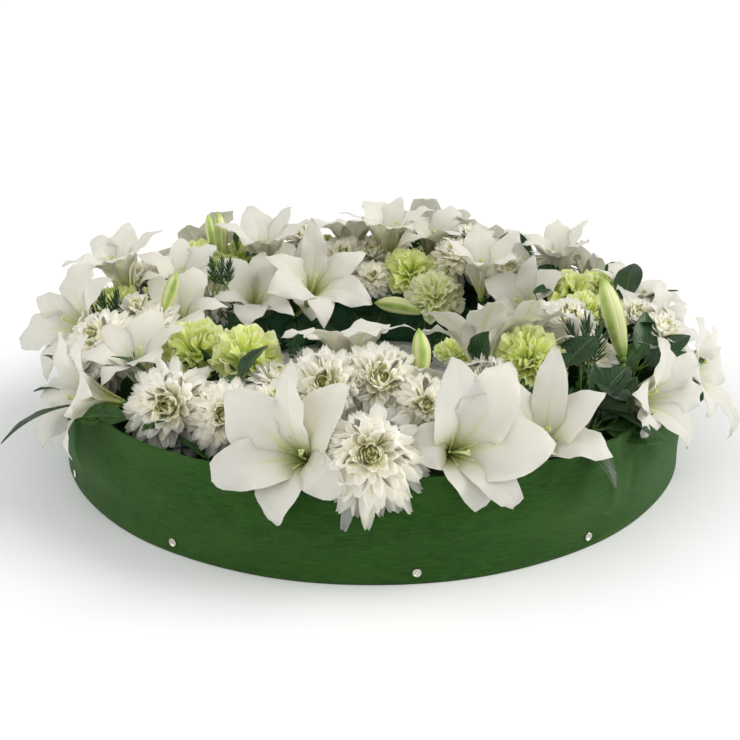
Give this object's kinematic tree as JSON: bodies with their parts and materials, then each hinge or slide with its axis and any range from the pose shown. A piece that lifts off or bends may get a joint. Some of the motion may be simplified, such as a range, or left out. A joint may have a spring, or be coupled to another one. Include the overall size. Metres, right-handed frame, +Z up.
{
  "type": "funeral wreath",
  "caption": "Ring wreath that lies flat: white lilies, chrysanthemums, lime carnations and dark leaves set in a foam ring, with a green fabric skirt pinned round its base.",
  "frame": {"origin": "centre of the ring, on the plane it rests on", "axes": "+Z up through the middle of the ring, -Y towards the front of the arrangement, +X to its right"},
  "size_m": [0.7318, 0.7211, 0.2],
  "materials": {
    "polystyrene": "fine-beaded expanded polystyrene",
    "floral_foam": "wet open-cell floral foam",
    "skirt_fabric": "green spunbond non-woven fabric with fine fibre streaks",
    "pin_metal": "nickel-plated drawing pins",
    "lily_petal": "fresh white petals with a green-yellow throat",
    "mum_petal": "fresh white strap petals with a yellow-green heart",
    "carnation_petal": "fresh lime-green ruffled petals",
    "lily_bud": "closed green lily buds",
    "leaf": "dark glossy evergreen leaves"
  },
  "bodies": {
    "root": {"backing_ring": "polystyrene", "foam_ring": "floral_foam", "skirt": "skirt_fabric", "skirt_pin_1": "pin_metal", "skirt_pin_2": "pin_metal", "skirt_pin_3": "pin_metal", "skirt_pin_4": "pin_metal", "skirt_pin_5": "pin_metal", "skirt_pin_6": "pin_metal", "skirt_pin_7": "pin_metal", "skirt_pin_8": "pin_metal", "lily_01": "lily_petal", "lily_02": "lily_petal", "lily_03": "lily_petal", "lily_04": "lily_petal", "lily_05": "lily_petal", "lily_06": "lily_petal", "lily_07": "lily_petal", "lily_08": "lily_petal", "lily_09": "lily_petal", "lily_10": "lily_petal", "lily_11": "lily_petal", "lily_12": "lily_petal", "lily_13": "lily_petal", "lily_14": "lily_petal", "lily_15": "lily_petal", "lily_16": "lily_petal", "lily_17": "lily_petal", "lily_18": "lily_petal", "mum_01": "mum_petal", "mum_02": "mum_petal", "mum_03": "mum_petal", "mum_04": "mum_petal", "mum_05": "mum_petal", "mum_06": "mum_petal", "mum_07": "mum_petal", "mum_08": "mum_petal", "mum_09": "mum_petal", "mum_10": "mum_petal", "mum_11": "mum_petal", "mum_12": "mum_petal", "mum_13": "mum_petal", "carnation_01": "carnation_petal", "carnation_02": "carnation_petal", "carnation_03": "carnation_petal", "carnation_04": "carnation_petal", "carnation_05": "carnation_petal", "carnation_06": "carnation_petal", "carnation_07": "carnation_petal", "carnation_08": "carnation_petal", "lily_bud_01": "lily_bud", "lily_bud_02": "lily_bud", "lily_bud_03": "lily_bud", "lily_bud_04": "lily_bud", "lily_bud_05": "lily_bud", "leaf_spray_01": "leaf", "leaf_spray_02": "leaf", "leaf_spray_03": "leaf", "leaf_spray_04": "leaf", "leaf_spray_05": "leaf"}
  },
  "joints": []
}
